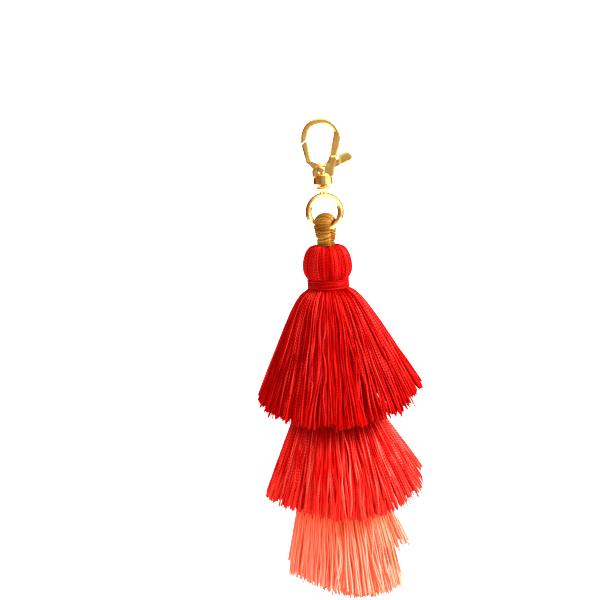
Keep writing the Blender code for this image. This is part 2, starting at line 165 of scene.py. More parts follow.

# A skirt: where its yarn leaves the neck and how it falls, as in the solids. `flare` is the outer yarn's
# angle, `skew` how much more it flares on the right, and `flat` how much less to the front and back. Its
# length is `length - longer cos a + dome |sin a|^power - lean sin 2a` at azimuth a. The coat is COAT_LAYERS
# layers of `around` threads side by side, gathered in `locks` broad locks and twice as many slim ones, whose
# ends differ by about `ragged` and which sway by about `wave`. `inner` threads fill the inside, `thread` is
# a thread's radius, and the tier above casts painted shade on the first `covered` of the length
Skirt = namedtuple(
    "Skirt",
    "neck root shoulder settle flare skew flat length longer dome power lean locks ragged wave "
    "around inner thread covered seed"
)
TOP = Skirt(
    neck=-49.8, root=5.9, shoulder=73, settle=3.4, flare=26.5, skew=3.8, flat=9.0,
    length=37.0, longer=0.6, dome=6.0, power=0.7, lean=0.8, locks=34, ragged=0.4, wave=0.38,
    around=262, inner=900, thread=0.235, covered=0.0, seed=31,
)
MIDDLE = Skirt(
    neck=-80.6, root=6.5, shoulder=62.5, settle=3.8, flare=26.5, skew=4.8, flat=9.0,
    length=32.9, longer=1.3, dome=7.1, power=0.5, lean=1.9, locks=32, ragged=0.4, wave=0.36,
    around=250, inner=900, thread=0.23, covered=0.25, seed=12,
)
BOTTOM = Skirt(
    neck=-102.6, root=5.6, shoulder=80, settle=3.7, flare=12.6, skew=0.8, flat=0.8,
    length=39.5, longer=-3.1, dome=1.7, power=0.7, lean=0.0, locks=28, ragged=0.4, wave=0.46,
    around=132, inner=800, thread=0.225, covered=0.33, seed=13,
)
COAT_LAYERS = 4
COAT_STATIONS = 16
INSIDE_STATIONS = 12
INSIDE_SHORTER = 3.5
INSIDE_LOWER = 6.0

# How uneven a coat is. A broad lock stands off or lies low by about LOCK_LIFT of the flare and a slim one by
# half as much. A lock draws its threads together by up to LOCK_PULL of their way to its middle, its end turns
# aside by about BROAD_SWAY or SLIM_SWAY radians, and a slim one's length differs by about SLIM_RAGGED. Each
# layer is LAYER_SHORTER shorter than the one over it, lies LAYER_STEP times a thread's radius lower and follows
# the locks FOLLOW_LESS less. LOOSE_SHARE of the outermost threads stand off a little. A thread is THREAD_LEAST
# to THREAD_MOST times as thick as its skirt's usual one
LOCK_LIFT = 0.016
LOCK_PULL = 0.2
BROAD_SWAY = 0.02
SLIM_SWAY = 0.028
SLIM_RAGGED = 0.3
LAYER_SHORTER = 0.4
LAYER_STEP = 1.8
FOLLOW_LESS = 0.4
LOOSE_SHARE = 0.07
THREAD_LEAST = 0.88
THREAD_MOST = 1.12

# A lock of the lowest skirt that stands out from its neighbours: its azimuth and half its spread in radians,
# its length in millimetres, the least and greatest angle that its yarn flares at in degrees, and how many
# layers it takes in, from the outermost
Stray = namedtuple("Stray", "azimuth spread length least most layers")
STRAY = Stray(azimuth=0.05, spread=0.28, length=32.6, least=11.5, most=23.0, layers=3)

# Yarn's finish: the grain of its fibres and how far that and the plies stand up, its gloss, and the share of
# a thread's length at which its tip's colour sets in, with how much of that colour the cut end has
YARN_GRAIN = 2400.0
YARN_BUMP = 0.3
YARN_BUMP_DEPTH = 0.00006
PLY_RELIEF = 0.35
YARN_GLOSS = 0.12
ROUGHNESS_SPREAD = 0.1
TIP_START = 0.7
TIP_SHARE = 0.7

# Gold's finish: its two tones, how fine its clouds and its brushing are, and how rough it is
GOLD_DARK = (0.82, 0.57, 0.28)
GOLD_LIGHT = (0.92, 0.70, 0.38)
GOLD_CLOUD = 350.0
GOLD_GRAIN = 5200.0
GOLD_BUMP = 0.05
GOLD_BUMP_DEPTH = 0.00003
GOLD_SMOOTHEST = 0.12
GOLD_ROUGHEST = 0.30


# Meshes

def unit(vectors):
    """Vectors made 1 long."""
    return vectors / np.maximum(np.linalg.norm(vectors, axis=-1, keepdims=True), 1e-12)


def ring_offsets(paths, lean, sides):
    """For each point of each path, unit vectors that point round it, one for each side of a tube."""
    along = unit(np.gradient(paths, axis=1))
    across = unit(lean - (lean * along).sum(-1, keepdims=True) * along)
    third = np.cross(along, across)
    angles = 2 * np.pi * np.arange(sides) / sides
    return np.cos(angles)[:, None] * across[:, :, None, :] + np.sin(angles)[:, None] * third[:, :, None, :]


def tubes(name, paths, radii, lean, sides=3, tone=PLAIN_TONE, deep=0.0):
    """Many thin tubes as one mesh. paths is (tubes, points, 3) and radii (tubes, points), in millimetres.

    Each tube carries a UV map, round the thread and along it, that starts at a place of its own, and three
    attributes of its points: tone, how light its colour is, with any painted glints, deep, how far it lies
    beneath its neighbours, which the yarn's material paints as shade, and reach, from 0 at its first point to
    1 at its last. lean is a way that no tube runs along, such as outward.
    """
    count, points = paths.shape[:2]
    lean = np.broadcast_to(lean, paths.shape)
    rings = paths[:, :, None, :] + ring_offsets(paths, lean, sides) * radii[:, :, None, None]
    index = np.arange(count * points * sides).reshape(count, points, sides)
    after = np.roll(index, -1, axis=2)
    quads = np.stack([index[:, :-1], after[:, :-1], after[:, 1:], index[:, 1:]], axis=-1).reshape(-1, 4)
    first_caps = index[:, 0, ::-1].reshape(-1, sides)
    last_caps = index[:, -1, :].reshape(-1, sides)
    corners = np.concatenate([quads.ravel(), first_caps.ravel(), last_caps.ravel()])
    totals = np.concatenate([np.full(len(quads), 4), np.full(2 * count, sides)])
    starts = np.concatenate([[0], np.cumsum(totals)[:-1]])

    mesh = bpy.data.meshes.new(name)
    mesh.vertices.add(index.size)
    mesh.vertices.foreach_set("co", (rings * MM).astype(np.float32).ravel())
    mesh.loops.add(len(corners))
    mesh.loops.foreach_set("vertex_index", corners.astype(np.int32))
    mesh.polygons.add(len(totals))
    mesh.polygons.foreach_set("loop_start", starts.astype(np.int32))
    mesh.polygons.foreach_set("loop_total", totals.astype(np.int32))
    mesh.update(calc_edges=True)

    steps = np.linalg.norm(np.diff(paths, axis=1), axis=-1)
    run = np.concatenate([np.zeros((count, 1)), np.cumsum(steps, axis=1)], axis=1)
    phase = np.random.default_rng(count).random((count, 1))
    v = np.repeat((run / TWIST_PITCH + phase)[:, :, None], sides, axis=2)
    u_low = np.broadcast_to(np.arange(sides) / sides, v.shape)
    u_high = u_low + 1 / sides
    quad_u = np.stack([u_low[:, :-1], u_high[:, :-1], u_high[:, 1:], u_low[:, 1:]], axis=-1)
    quad_v = np.stack([v[:, :-1], v[:, :-1], v[:, 1:], v[:, 1:]], axis=-1)
    cap_uv = np.zeros((2 * count * sides, 2))
    uv = np.concatenate([np.stack([quad_u.ravel(), quad_v.ravel()], axis=-1), cap_uv])
    layer = mesh.uv_layers.new(name="thread")
    layer.data.foreach_set("uv", uv.astype(np.float32).ravel())

    store(mesh, "tone", np.repeat(np.broadcast_to(tone, (count, points)).ravel(), sides))
    store(mesh, "deep", np.repeat(np.broadcast_to(deep, (count, points)).ravel(), sides))
    reach = run / run[:, -1:]
    store(mesh, "reach", np.repeat(reach[:, :, None], sides, axis=2).ravel())
    mesh.shade_smooth()
    made = bpy.data.objects.new(name, mesh)
    bpy.context.scene.collection.objects.link(made)
    return made


def store(mesh, name, values):
    """Gives a mesh an attribute, with a number for each of its points."""
    attribute = mesh.attributes.new(name, "FLOAT", "POINT")
    attribute.data.foreach_set("value", values.astype(np.float32))


def turned(name, profile, steps):
    """A (radius, height) profile in millimetres, turned about the Z axis."""
    mesh = bpy.data.meshes.new(name)
    rows = [(radius * MM, 0.0, level * MM) for radius, level in profile]
    mesh.from_pydata(rows, [(i, i + 1) for i in range(len(rows) - 1)], [])
    made = bpy.data.objects.new(name, mesh)
    bpy.context.scene.collection.objects.link(made)
    screw = made.modifiers.new("turn", "SCREW")
    screw.steps = steps
    screw.render_steps = steps
    screw.use_merge_vertices = True
    screw.merge_threshold = 0.00001
    screw.use_smooth_shade = True
    return made


# Forms of yarn

def fall(root, height, shoulder, settle, flare, length, points):
    """Centre lines of yarn in their own upright planes: radius and height at each point of each thread."""
    fine = 4 * (points - 1)
    share = np.linspace(0, 1, fine + 1)[None, :]
    run = length[:, None] * share
    angle = np.radians(flare[:, None] + (shoulder - flare)[:, None] * np.exp(-run / settle))
    step = length[:, None] / fine
    zero = np.zeros((len(root), 1))
    middle = 0.5 * (angle[:, 1:] + angle[:, :-1])
    radius = root[:, None] + np.concatenate([zero, np.cumsum(step * np.sin(middle), axis=1)], axis=1)
    level = height[:, None] - np.concatenate([zero, np.cumsum(step * np.cos(middle), axis=1)], axis=1)
    return radius[:, ::4], level[:, ::4]


def ease(x):
    """Rises smoothly from 0 to 1 as x does, and is level before and after."""
    x = np.clip(x, 0, 1)
    return x * x * (3 - 2 * x)


def bunch(azimuth, count, draw):
    """The nearest of a ring of locks to each azimuth, and how far round it lies from that lock's middle."""
    middles = 2 * np.pi * (np.arange(count) + draw.uniform(-0.38, 0.38, count)) / count
    apart = (azimuth[:, None] - middles[None, :] + np.pi) % (2 * np.pi) - np.pi
    nearest = np.abs(apart).argmin(axis=1)
    return nearest, apart[np.arange(len(azimuth)), nearest]


def staggered(paths, draw):
    """Each thread's inner points moved along it by a share of its own, so that they don't line up in rows."""
    moved = paths.copy()
    moved[:, 1:-1] += draw.random((len(paths), 1, 1)) * (paths[:, 2:] - paths[:, 1:-1])
    return moved


def skirt_flare(skirt, azimuth):
    """The outer yarn's angle in degrees at each azimuth."""
    return skirt.flare + skirt.skew * np.cos(azimuth) - skirt.flat * np.sin(azimuth) ** 2


def skirt_length(skirt, azimuth, depth):
    """The yarn's length at each azimuth, and at a depth of 0 beside the coat to 1 at the skirt's middle."""
    length = skirt.length - skirt.longer * np.cos(azimuth) - skirt.lean * np.sin(2 * azimuth)
    dome = skirt.dome * np.abs(np.sin(azimuth)) ** skirt.power
    return length + dome * (1 - depth) - INSIDE_SHORTER * depth


def stand(radius, level, turn, sway):
    """Threads' points from their radius, level, azimuth and sidewise sway, and the way outward at each."""
    out = np.stack([np.cos(turn), np.sin(turn), np.zeros_like(turn)], axis=-1)
    side = np.stack([-np.sin(turn), np.cos(turn), np.zeros_like(turn)], axis=-1)
    paths = out * radius[..., None] + side * sway[..., None]
    paths[..., 2] = level
    return paths, out


def skirt_coat(name, skirt, draw, stray):
    """A skirt's outer yarn: threads side by side in layers, and more that come up as the skirt widens.

    Each share is of a thread's length, from 0 at the neck to 1 at the hem.
    """
    around = skirt.around
    count = around * COAT_LAYERS
    rank = np.tile(np.arange(around), COAT_LAYERS)
    layer = np.repeat(np.arange(COAT_LAYERS), around)
    azimuth = 2 * np.pi * ((rank * GOLDEN_PART + 0.5 * layer / around) % 1.0)
    azimuth += draw.normal(0, 0.22, count) * 2 * np.pi / around
    share = np.linspace(0, 1, COAT_STATIONS)[None, :]

    broad, broad_offset = bunch(azimuth, skirt.locks, draw)
    slim, slim_offset = bunch(azimuth, 2 * skirt.locks, draw)
    lift = LOCK_LIFT * skirt.flare
    broads, slims = skirt.locks, 2 * skirt.locks
    broad_lift, slim_lift = draw.normal(0, lift, broads), draw.normal(0, 0.5 * lift, slims)
    broad_pull, slim_pull = draw.uniform(0.0, LOCK_PULL, broads), draw.uniform(0.0, LOCK_PULL, slims)
    broad_cut, slim_cut = draw.normal(0, skirt.ragged, broads), draw.normal(0, SLIM_RAGGED, slims)
    broad_sway, slim_sway = draw.normal(0, BROAD_SWAY, broads), draw.normal(0, SLIM_SWAY, slims)
    loose = (draw.random(count) < LOOSE_SHARE) & (layer == 0)

    flare = skirt_flare(skirt, azimuth) + broad_lift[broad] + slim_lift[slim] + draw.normal(0, 0.25, count)
    flare = np.where(loose, flare + draw.uniform(0.3, 1.1, count), flare)
    length = skirt_length(skirt, azimuth, 0.0) + broad_cut[broad] + slim_cut[slim] - LAYER_SHORTER * layer
    length += draw.normal(0, 0.28, count) - np.abs(draw.normal(0, 0.3, count))
    if stray:
        apart = np.abs((azimuth - stray.azimuth + np.pi) % (2 * np.pi) - np.pi)
        bent = (apart < stray.spread) & (layer < stray.layers)
        flare[bent] = draw.uniform(stray.least, stray.most, bent.sum())
        length[bent] = stray.length + draw.normal(0, 0.6, bent.sum())
    root, height = np.full(count, skirt.root), np.full(count, skirt.neck)
    shoulder = np.full(count, float(skirt.shoulder))
    radius, level = fall(root, height, shoulder, skirt.settle, flare, length, COAT_STATIONS)

    # A thread lies a layer lower until the skirt is wide enough for it to lie beside its neighbours
    fit = (skirt.root + 2.0) / radius[:, -1].mean()
    rises_at = (rank / around - fit) / (1 - fit)
    sunk = ease((rises_at[:, None] - share) / 0.25 + 0.5)
    drop = (layer[:, None] + sunk) * LAYER_STEP * skirt.thread
    along, down = np.gradient(radius, axis=1), np.gradient(level, axis=1)
    stretch = np.hypot(along, down)
    radius, level = radius + drop * down / stretch, level - drop * along / stretch

    # Each thread's azimuth along its length: drawn to its locks' middles, then turned aside with their ends
    follow = np.clip(1 - FOLLOW_LESS * layer, 0, 1)
    to_broad, to_slim = broad_pull[broad] * broad_offset, slim_pull[slim] * slim_offset
    turn = azimuth[:, None] - (follow * to_broad)[:, None] * ease((share - 0.3) / 0.6)
    turn = turn - (follow * to_slim)[:, None] * ease((share - 0.1) / 0.5)
    turn = turn + (follow * (broad_sway[broad] + slim_sway[slim]))[:, None] * share ** 1.5
    turn = turn + draw.normal(0, 0.02, (count, 1)) * share
    turn = turn + (loose * draw.normal(0, 0.08, count))[:, None] * share ** 1.4

    # Sidewise waves, one for each slim lock and a quicker one for each thread
    waves = draw.uniform(0.7, 1.6, slims)[slim][:, None]
    phase = draw.random(slims)[slim][:, None]
    swing = draw.normal(0, 0.8, slims)[slim][:, None]
    sway = swing * np.sin(2 * np.pi * (waves * share + phase))
    own_waves, own_phase = draw.uniform(1.2, 3.2, (count, 1)), draw.random((count, 1))
    own_swing = 0.7 * draw.normal(0, 1, (count, 1))
    sway = sway + own_swing * np.sin(2 * np.pi * (own_waves * share + own_phase))
    paths, out = stand(radius, level, turn, skirt.wave * sway * ease(share / 0.4))

    thick = skirt.thread * draw.uniform(THREAD_LEAST, THREAD_MOST, (count, 1))
    thick = thick * (1 - 0.2 * ease((share - 0.94) / 0.06))
    # Painted glints: each thread's tone rises and falls in waves along it, over its own random tone
    glints = np.sin(2 * np.pi * (draw.uniform(2.0, 5.0, (count, 1)) * share + draw.random((count, 1))))
    tone = np.clip(TONE + draw.normal(0, COAT_TONE_SPREAD, (count, 1)) + COAT_GLINTS * glints, 0, 1)
    # Painted shade in the gaps' colour: more for each lower layer, for threads that lie lower until the skirt
    # widens and under the tier above, and less for loose threads that stand off
    shaded = (1 - ease((share - skirt.covered) / SHADE_EDGE)) if skirt.covered else 0.0
    deep = LAYER_SHADE * layer[:, None] + SUNK_SHADE * sunk + shaded - LOOSE_LESS_SHADE * loose[:, None]
    deep = np.clip(deep, 0, 1)
    return tubes(name, staggered(paths, draw), thick, out, sides=4, tone=tone, deep=deep)


def skirt_inside(name, skirt, draw):
    """The yarn inside a skirt, which shows at its hem and between the coat's locks.

    A thread's depth is 0 beside the coat and 1 at the skirt's middle. The deeper it lies, the lower it starts
    and the straighter it falls.
    """
    count = skirt.inner
    azimuth = 2 * np.pi * (np.arange(count) * GOLDEN_PART % 1.0) + draw.normal(0, 0.02, count)
    depth = 0.12 + 0.88 * draw.random(count) ** 1.7
    flare = skirt_flare(skirt, azimuth) * (1 - 0.9 * depth) + draw.normal(0, 0.5, count)
    shoulder = flare + (skirt.shoulder - flare) * (1 - 0.8 * depth)
    length = skirt_length(skirt, azimuth, depth) + draw.normal(0, 0.5, count)
    root, height = skirt.root * (1 - 0.75 * depth), skirt.neck - INSIDE_LOWER * depth
    share = np.linspace(0, 1, INSIDE_STATIONS)[None, :]
    radius, level = fall(root, height, shoulder, skirt.settle, flare, length, INSIDE_STATIONS)
    turn = azimuth[:, None] + draw.normal(0, 0.02, (count, 1)) * share
    waves = draw.uniform(0.8, 1.8, (count, 1)) * share + draw.random((count, 1))
    sway = skirt.wave * draw.normal(0, 1, (count, 1)) * np.sin(2 * np.pi * waves) * ease(share / 0.4)
    paths, out = stand(radius, level, turn, sway)
    thick = skirt.thread * draw.uniform(THREAD_LEAST, THREAD_MOST, (count, 1)) * np.ones_like(share)
    tone = np.clip(PLAIN_TONE + draw.normal(0, PLAIN_TONE_SPREAD, (count, 1)), 0, 1)
    # Painted shade, more the deeper a thread lies
    return tubes(name, paths, thick, out, tone=tone, deep=np.clip(0.5 + depth, 0, 1)[:, None])


def make_skirt(name, skirt, stray):
    """A tier's yarn: an outer coat in locks, and the yarn inside it."""
    draw = np.random.default_rng(skirt.seed)
    return skirt_coat(name + "_coat", skirt, draw, stray), skirt_inside(name + "_inside", skirt, draw)


def smooth_curve(points, count):
    """A smooth curve through points, at evenly spaced places along it."""
    points = np.asarray(points, float)
    padded = np.concatenate([[2 * points[0] - points[1]], points, [2 * points[-1] - points[-2]]])
    fine = []
    for i in range(len(points) - 1):
        t = np.linspace(0, 1, 24, endpoint=False)[:, None]
        p0, p1, p2, p3 = padded[i:i + 4]
        fine.append(
            0.5 * (2 * p1 + (p2 - p0) * t + (2 * p0 - 5 * p1 + 4 * p2 - p3) * t ** 2
                   + (3 * p1 - p0 - 3 * p2 + p3) * t ** 3)
        )
    fine = np.concatenate(fine + [points[-1:]])
    run = np.concatenate([[0], np.cumsum(np.linalg.norm(np.diff(fine, axis=0), axis=1))])
    at = np.linspace(0, run[-1], count)
    return np.stack([np.interp(at, run, fine[:, k]) for k in range(fine.shape[1])], axis=-1)


def make_head(yarn):
    """The head: yarn laid over a round body from the dimple at its top down to the neck."""
    draw = np.random.default_rng(21)
    inner = [(0.0, -38.0)] + [(r - 0.35, z - 0.3) for r, z in HEAD] + [(0.0, HEAD[-1][1] - 0.3)]
    body = turned("head_body", inner, 64)
    profile = smooth_curve(HEAD, 20)
    layer = np.repeat([0, 1], HEAD_AROUND)
    count = len(layer)
    azimuth = 2 * np.pi * (np.arange(count) + 0.5 * layer) / HEAD_AROUND
    azimuth += draw.normal(0, 0.2, count) * 2 * np.pi / HEAD_AROUND
    share = np.linspace(0, 1, len(profile))[None, :]
    turn = azimuth[:, None] + draw.normal(0, 0.03, (count, 1)) * (share - 0.6)
    turn = turn + 0.012 * np.sin(7 * share + 6.3 * draw.random((count, 1)))
    sunk = HEAD_SUNK * layer + draw.uniform(0, HEAD_UNEVEN, count)
    lift = (0.02 - sunk[:, None]) * np.sin(np.pi * np.clip(share, 0.08, 1)) ** 0.5
    lift = lift + 0.04 * np.sin(9 * azimuth + 1.3)[:, None] * np.sin(np.pi * share)

    # The yarn starts close beside the loop's legs, which together make a slot with round ends
    legs = azimuth[:, None] - math.radians(LOOP_YAW)
    reach = LOOP_OFFSET + LOOP_THICK / 2
    beside = 0.5 * LOOP_WIDTH / np.maximum(np.abs(np.cos(legs)), 0.5 * LOOP_WIDTH / reach)
    radius = np.maximum(profile[None, :, 0] + lift, beside + 0.12)
    out = np.stack([np.cos(turn), np.sin(turn), np.zeros_like(turn)], axis=-1)
    paths = out * radius[..., None]
    paths[..., 2] = profile[None, :, 1] + 0.25 * lift
    radii = np.full(paths.shape[:2], HEAD_THREAD)
    tone = np.clip(TONE + draw.normal(0, HEAD_TONE_SPREAD, (count, 1)), 0, 1)
    paths = staggered(paths, draw)
    # Painted shade, more for the inner layer and for threads that lie lower
    strands = tubes("head_strands", paths, radii, out, sides=4, tone=tone, deep=sunk[:, None])
    for piece in (body, strands):
        dress(piece, yarn, "tassel")


def make_binding(yarn):
    """The binding: thread wound down the neck in close turns, and a few turns that cross on the slant."""
    draw = np.random.default_rng(22)
    steps = BIND_STEPS * BIND_TURNS
    share = np.linspace(0, 1, steps)
    turn = 2 * np.pi * BIND_TURNS * share + 0.7
    radius = BIND_RADIUS + 0.10 * np.sin(3.5 * 2 * np.pi * share) + 0.05 * np.sin(2 * turn + 5 * share)
    level = BIND_TOP - BIND_THREAD - (BIND_HEIGHT - 2 * BIND_THREAD) * share + 0.06 * np.sin(turn + 1.0)
    wound = np.stack([radius * np.cos(turn), radius * np.sin(turn), level], axis=-1)[None]
    # The turns have heavy painted shade
    winding = tubes("binding_turns", wound, np.full((1, steps), BIND_THREAD), (0, 0, 1), sides=6, deep=0.8)

    around = np.linspace(0, 2 * np.pi, CROSSING_STEPS)[None, :]
    start = draw.uniform(0, 2 * np.pi, (len(CROSSINGS), 1))
    middle = BIND_TOP - BIND_HEIGHT * np.array([[crossing.down] for crossing in CROSSINGS])
    slant = np.array([[crossing.slant] for crossing in CROSSINGS])
    reach = BIND_RADIUS + CROSSING_LIFT
    across, along = reach * np.cos(around + start), reach * np.sin(around + start)
    lines = np.stack([across, along, middle + slant * np.sin(around)], axis=-1)
    radii = np.full(lines.shape[:2], CROSSING_THREAD)
    # The crossings, which stand off the turns, have a little painted shade
    slanted = tubes("binding_crossings", lines, radii, (0, 0, 1), sides=5, deep=0.2)
    for piece in (winding, slanted):
        dress(piece, yarn, "tassel")
    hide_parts("neck_binding")


def loop_line(count):
    """The loop's centre line in its own plane, as (across, height), at evenly spaced places."""
    bend = EYE_WIRE + EYE_GAP + LOOP_THICK / 2
    angles = np.radians(np.linspace(BEND_START, 90, 9))
    over = np.stack([bend * np.cos(angles), EYE_BOTTOM + bend * np.sin(angles)], axis=-1)
    leg = [(-LOOP_OFFSET, level) for level in (LOOP_FOOT, LOOP_FOOT + FOOT_LENGTH, over[0][1] - BEND_DROP)]
    half = np.concatenate([leg, over])
    whole = np.concatenate([half, (half * (-1, 1))[-2::-1]])
    return smooth_curve(whole, count)


def loop_section(line):
    """The loop's normal and half its width at each point of a line of (points, 2)."""
    along = unit(np.gradient(line, axis=0))
    normal = np.stack([-along[:, 1], along[:, 0]], axis=-1)
    crown = line[:, 1].max()
    low = EYE_BOTTOM - WIDENS_AT
    rise = np.clip((line[:, 1] - low) / (crown - low), 0, 1)
    half_width = 0.5 * (LOOP_WIDTH + (LOOP_TOP_WIDTH - LOOP_WIDTH) * np.sin(0.5 * np.pi * rise))
    return normal, half_width


def place_loop(across, deep, level):
    """Points from the loop's own plane, turned a little about the vertical as the loop hangs."""
    yaw = math.radians(LOOP_YAW)
    x = across * math.cos(yaw) - deep * math.sin(yaw)
    y = across * math.sin(yaw) + deep * math.cos(yaw)
    return np.stack([x, y, level], axis=-1)


def drift(run, knots, spread, draw):
    """A number that wanders at random along a length, from each of its knots to the next."""
    return np.interp(run, np.linspace(0, run[-1], knots), draw.normal(0, spread, knots))


def make_loop(thread):
    """The loop: ochre thread wound closely and a little unevenly round a flattened cord."""
    draw = np.random.default_rng(23)
    rough = loop_line(400)
    length = np.linalg.norm(np.diff(rough, axis=0), axis=1).sum()
    turns = length / WRAP_PITCH
    steps = int(WRAP_STEPS * turns)
    turn = np.linspace(0, 2 * np.pi * turns, steps)
    run = np.linspace(0, length, steps)
    wander = drift(run, knots=150, spread=WRAP_WANDER, draw=draw)
    slant = WRAP_SLANT + WRAP_SLANT * drift(run, knots=16, spread=1, draw=draw)
    shifted = np.clip(run + slant * np.cos(turn) + wander, 0, length)
    at = np.linspace(0, length, len(rough))
    line = np.stack([np.interp(shifted, at, rough[:, k]) for k in range(2)], axis=-1)
    smooth = np.stack([np.interp(run, at, rough[:, k]) for k in range(2)], axis=-1)
    normal, half_width = loop_section(smooth)
    swell = drift(run, knots=60, spread=WRAP_SWELL, draw=draw) + 0.05 * np.sin(5 * turn / 7)
    wide = half_width - WRAP_THREAD + swell
    thick = LOOP_THICK / 2 - WRAP_THREAD + swell
    deep = line[:, 0] + thick * np.sin(turn) * normal[:, 0]
    level = line[:, 1] + thick * np.sin(turn) * normal[:, 1]
    wound = place_loop(wide * np.cos(turn), deep, level)[None]
    outward = place_loop(np.cos(turn), np.sin(turn) * normal[:, 0], np.sin(turn) * normal[:, 1])[None]
    tone = PLAIN_TONE + drift(run, knots=110, spread=PLAIN_TONE_SPREAD, draw=draw)[None]
    wrap = tubes("loop_wrap", wound, np.full((1, steps), WRAP_THREAD), outward, sides=6, tone=tone)

    # The cord under the winding, drawn as a ring of strands along it
    around = 2 * np.pi * np.arange(CORD_STRANDS) / CORD_STRANDS
    coarse = loop_line(48)
    normal, half_width = loop_section(coarse)
    across = (half_width[None, :] - CORD_INSET) * np.cos(around)[:, None]
    thick = (LOOP_THICK / 2 - CORD_INSET) * np.sin(around)[:, None]
    deep = coarse[None, :, 0] + thick * normal[None, :, 0]
    level = coarse[None, :, 1] + thick * normal[None, :, 1]
    strands = place_loop(across, deep, level)
    cord = tubes("loop_cord", strands, np.full(strands.shape[:2], CORD_STRAND), (1, 0, 0), sides=5)
    for piece in (wrap, cord):
        dress(piece, thread, "tassel")
    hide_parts("wrapped_loop")


# Materials

def new_material(name):
    """A new material of nodes, with its tree and its shader."""
    made = bpy.data.materials.new(name)
    made.use_nodes = True
    tree = made.node_tree
    return made, tree, tree.nodes["Principled BSDF"]


def node(tree, kind, **values):
    """A new node of a tree, with some of its settings."""
    made = tree.nodes.new(kind)
    for key, value in values.items():
        setattr(made, key, value)
    return made


def ramp(tree, stops):
    """A colour ramp through stops of (place, colour)."""
    made = tree.nodes.new("ShaderNodeValToRGB")
    elements = made.color_ramp.elements
    while len(elements) < len(stops):
        elements.new(0.5)
    for element, (place, colour) in zip(elements, stops):
        element.position = place
        element.color = (*colour, 1.0)
    return made


def yarn_material(name, shade_and_glow, dark, middle, light, tip, tint, roughness=0.4, swing=0.2):
    """Spun yarn: a tone for each thread with painted highlights and shade that swing with its ply's twist,
    painted shade in the gaps' colour where the thread lies beneath others, another colour towards its cut end,
    a painted glow in the shade's colour, and a tint of its gloss.
    """
    made, tree, shader = new_material(name)
    uv = node(tree, "ShaderNodeUVMap", uv_map="thread")
    split = node(tree, "ShaderNodeSeparateXYZ")
    tree.links.new(uv.outputs["UV"], split.inputs["Vector"])
    turn = node(tree, "ShaderNodeMath", operation="ADD")
    tree.links.new(split.outputs["X"], turn.inputs[0])
    tree.links.new(split.outputs["Y"], turn.inputs[1])
    cycle = node(tree, "ShaderNodeMath", operation="MULTIPLY")
    cycle.inputs[1].default_value = 4 * math.pi
    tree.links.new(turn.outputs[0], cycle.inputs[0])
    wave = node(tree, "ShaderNodeMath", operation="SINE")
    tree.links.new(cycle.outputs[0], wave.inputs[0])
    tone = node(tree, "ShaderNodeAttribute", attribute_name="tone")
    # Painted highlights and shade along each thread: its tone swings lighter and darker with its ply's twist
    tone_with_ply_highlights = node(tree, "ShaderNodeMath", operation="MULTIPLY_ADD")
    tone_with_ply_highlights.inputs[1].default_value = swing
    tree.links.new(wave.outputs[0], tone_with_ply_highlights.inputs[0])
    tree.links.new(tone.outputs["Fac"], tone_with_ply_highlights.inputs[2])
    tone_ramp = ramp(tree, ((0.1, dark), (0.5, middle), (0.85, light)))
    tree.links.new(tone_with_ply_highlights.outputs[0], tone_ramp.inputs["Fac"])
    reach = node(tree, "ShaderNodeAttribute", attribute_name="reach")
    near_end = node(tree, "ShaderNodeMapRange")
    near_end.inputs["From Min"].default_value = TIP_START
    near_end.inputs["To Max"].default_value = TIP_SHARE
    tree.links.new(reach.outputs["Fac"], near_end.inputs["Value"])
    tipped = node(tree, "ShaderNodeMix", data_type="RGBA")
    tree.links.new(near_end.outputs["Result"], tipped.inputs["Factor"])
    tree.links.new(tone_ramp.outputs["Color"], tipped.inputs["A"])
    tipped.inputs["B"].default_value = (*tip, 1.0)
    # Painted shade: the colour turns towards the gaps' colour as far as the thread lies beneath others
    deep = node(tree, "ShaderNodeAttribute", attribute_name="deep")
    painted_shade_mix = node(tree, "ShaderNodeMix", data_type="RGBA")
    tree.links.new(deep.outputs["Fac"], painted_shade_mix.inputs["Factor"])
    tree.links.new(tipped.outputs["Result"], painted_shade_mix.inputs["A"])
    painted_shade_mix.inputs["B"].default_value = (*shade_and_glow, 1.0)
    tree.links.new(painted_shade_mix.outputs["Result"], shader.inputs["Base Color"])
    noise = node(tree, "ShaderNodeTexNoise")
    noise.inputs["Scale"].default_value = YARN_GRAIN
    noise.inputs["Detail"].default_value = 2.0
    place = node(tree, "ShaderNodeTexCoord")
    tree.links.new(place.outputs["Object"], noise.inputs["Vector"])
    height = node(tree, "ShaderNodeMath", operation="MULTIPLY_ADD")
    height.inputs[1].default_value = PLY_RELIEF
    tree.links.new(wave.outputs[0], height.inputs[0])
    tree.links.new(noise.outputs["Fac"], height.inputs[2])
    raised = node(tree, "ShaderNodeBump")
    raised.inputs["Strength"].default_value = YARN_BUMP
    raised.inputs["Distance"].default_value = YARN_BUMP_DEPTH
    tree.links.new(height.outputs[0], raised.inputs["Height"])
    tree.links.new(raised.outputs["Normal"], shader.inputs["Normal"])
    rough = node(tree, "ShaderNodeMapRange")
    rough.inputs["To Min"].default_value = roughness - ROUGHNESS_SPREAD
    rough.inputs["To Max"].default_value = roughness + ROUGHNESS_SPREAD
    tree.links.new(noise.outputs["Fac"], rough.inputs["Value"])
    tree.links.new(rough.outputs["Result"], shader.inputs["Roughness"])
    shader.inputs["Specular IOR Level"].default_value = YARN_GLOSS
    shader.inputs["Specular Tint"].default_value = (*tint, 1.0)
    # A painted glow in the painted shade's colour, which stands for light passed on through the yarn
    shader.inputs["Emission Color"].default_value = (*shade_and_glow, 1.0)
    shader.inputs["Emission Strength"].default_value = PAINTED_GLOW
    return made


